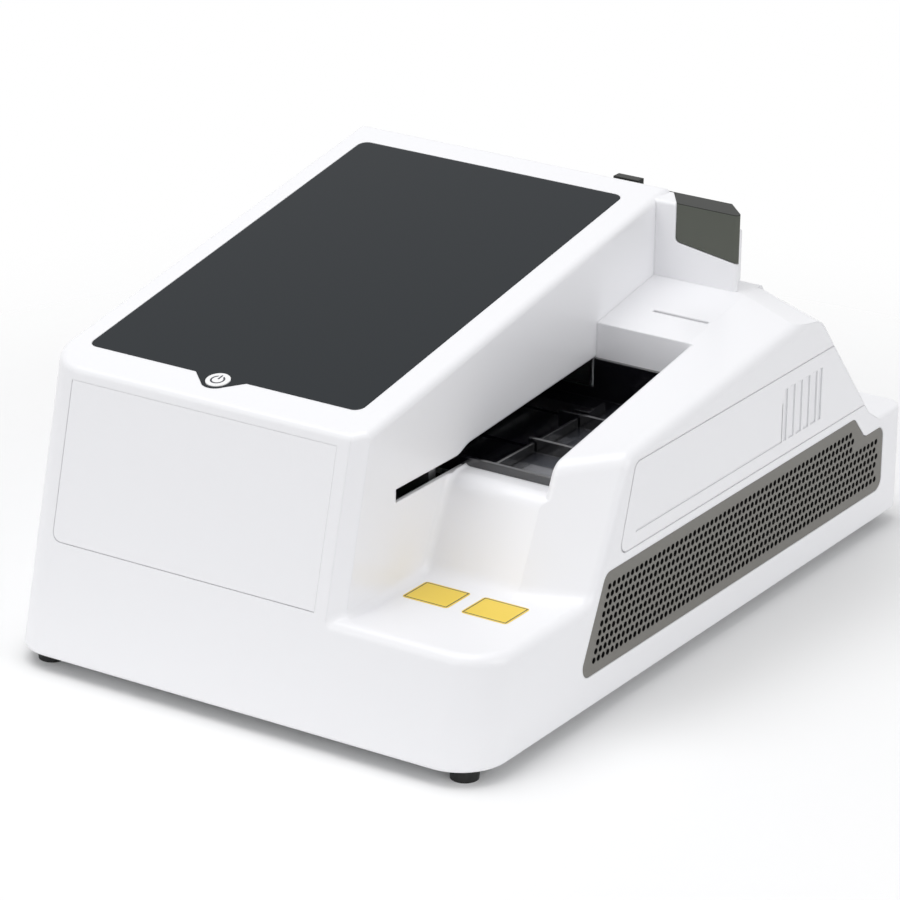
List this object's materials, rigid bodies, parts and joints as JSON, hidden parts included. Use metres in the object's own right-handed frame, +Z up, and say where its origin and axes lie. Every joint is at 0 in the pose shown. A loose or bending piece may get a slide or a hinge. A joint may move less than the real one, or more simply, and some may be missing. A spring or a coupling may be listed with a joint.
{
  "type": "urine analyzer",
  "caption": "Bench-top test-strip analyzer: sloped touch screen tower, low front deck, black strip tray beside it, raised rim with waste drawer, side vent grille and hinged printer cover.",
  "frame": {"origin": "on the table under the middle of the unit", "axes": "+X right as seen from the front, +Y to the back, +Z up"},
  "size_m": [0.278, 0.4236, 0.1989],
  "materials": {
    "casing": "satin moulded shell",
    "front_panel": "satin",
    "base": "matt",
    "feet": "matt",
    "screws": "zinc plated",
    "display_glass": "dark tinted glass, polished",
    "display": "matt black",
    "sheet": "zinc plated sheet",
    "button": "satin",
    "board": "solder mask",
    "vent": "fine grained",
    "fan": "matt",
    "sticker": "satin film",
    "tray": "polished black",
    "mechanism": "matt black",
    "lens": "clear",
    "aluminium": "milled",
    "rods": "ground",
    "steel": "turned",
    "printer_cover": "smoked, satin",
    "platen": "matt",
    "gear": "matt",
    "paper": "smooth",
    "core": "matt",
    "socket": "matt black",
    "port": "nickel plated"
  },
  "bodies": {
    "base": {"upper_housing": "casing", "base_plate": "base", "rubber_feet": "feet", "base_screws": "screws", "front_panel": "front_panel", "display_glass": "display_glass", "display_module": "display", "display_bracket": "sheet", "power_switch": "board", "vent_grille": "vent", "fan_frame": "fan", "deck_labels": "sticker", "strip_tray": "tray", "mech_frame": "sheet", "feeder_brackets": "aluminium", "feeder_rods": "rods", "feeder_motor": "mechanism", "reader_brackets": "aluminium", "reader_rods": "rods", "reader_motor": "mechanism", "drawer_runner": "base", "print_head": "aluminium", "paper_cradle": "mechanism", "cover_hinge_pin": "steel", "main_board": "board", "power_supply": "sheet", "port_plate": "sheet", "mains_inlet": "socket", "rocker_body": "socket", "usb_port": "port", "network_port": "port", "serial_port": "port", "card_socket": "mechanism"},
    "button": {"power_button": "button"},
    "fan": {"fan_rotor": "fan"},
    "comb": {"feeder_comb": "tray", "feeder_carriage": "mechanism"},
    "feed_screw": {"feeder_screw": "steel"},
    "reader": {"reader_carriage": "mechanism", "reader_lens": "lens"},
    "read_screw": {"reader_screw": "steel"},
    "drawer": {"drawer_panel": "casing", "waste_bin": "base"},
    "cover": {"printer_cover": "printer_cover"},
    "platen": {"platen_roller": "platen", "platen_shaft": "steel", "platen_gear": "gear"},
    "paper": {"paper_roll": "paper", "paper_core": "core"},
    "rocker": {"rocker": "socket"}
  },
  "joints": [
    {"name": "button_press", "type": "slide", "parent": "base", "child": "button", "axis": [0, 0.1745, -0.9847], "range_m": [0, 0.0008], "stiffness_N_per_m": 400},
    {"name": "fan_spin", "type": "hinge", "parent": "base", "child": "fan", "pos_m": [0.129, 0.04, 0.0385], "axis": [1, 0, 0], "continuous": true},
    {"name": "comb_slide", "type": "slide", "parent": "base", "child": "comb", "axis": [-1, 0, 0], "range_m": [-0.02, 0.06]},
    {"name": "feed_screw_spin", "type": "hinge", "parent": "base", "child": "feed_screw", "pos_m": [0.04, -0.04, 0.086], "axis": [1, 0, 0], "range_deg": [-905, 2705]},
    {"name": "reader_slide", "type": "slide", "parent": "base", "child": "reader", "axis": [0, 1, 0], "range_m": [0, 0.1]},
    {"name": "read_screw_spin", "type": "hinge", "parent": "base", "child": "read_screw", "pos_m": [0.017, -0.03, 0.134], "axis": [0, 1, 0], "range_deg": [-4505, 5]},
    {"name": "drawer_slide", "type": "slide", "parent": "base", "child": "drawer", "axis": [0, 1, 0], "range_m": [0, 0.15]},
    {"name": "cover_hinge", "type": "hinge", "parent": "base", "child": "cover", "pos_m": [0.025, 0.1645, 0.163], "axis": [-1, 0, 0], "range_deg": [0, 90]},
    {"name": "platen_spin", "type": "hinge", "parent": "cover", "child": "platen", "pos_m": [0.025, 0.1133, 0.184], "axis": [1, 0, 0], "continuous": true},
    {"name": "paper_spin", "type": "hinge", "parent": "base", "child": "paper", "pos_m": [0.0235, 0.134, 0.146], "axis": [1, 0, 0], "continuous": true},
    {"name": "rocker_tilt", "type": "hinge", "parent": "base", "child": "rocker", "pos_m": [-0.064, 0.2065, 0.039], "axis": [1, 0, 0], "range_deg": [0, 14]}
  ],
  "couplings": [
    {"joint": "feed_screw_spin", "follows": "comb_slide", "rad_per_m": 785.4},
    {"joint": "read_screw_spin", "follows": "reader_slide", "rad_per_m": -785.4},
    {"joint": "paper_spin", "follows": "platen_spin", "ratio": 0.18182}
  ]
}
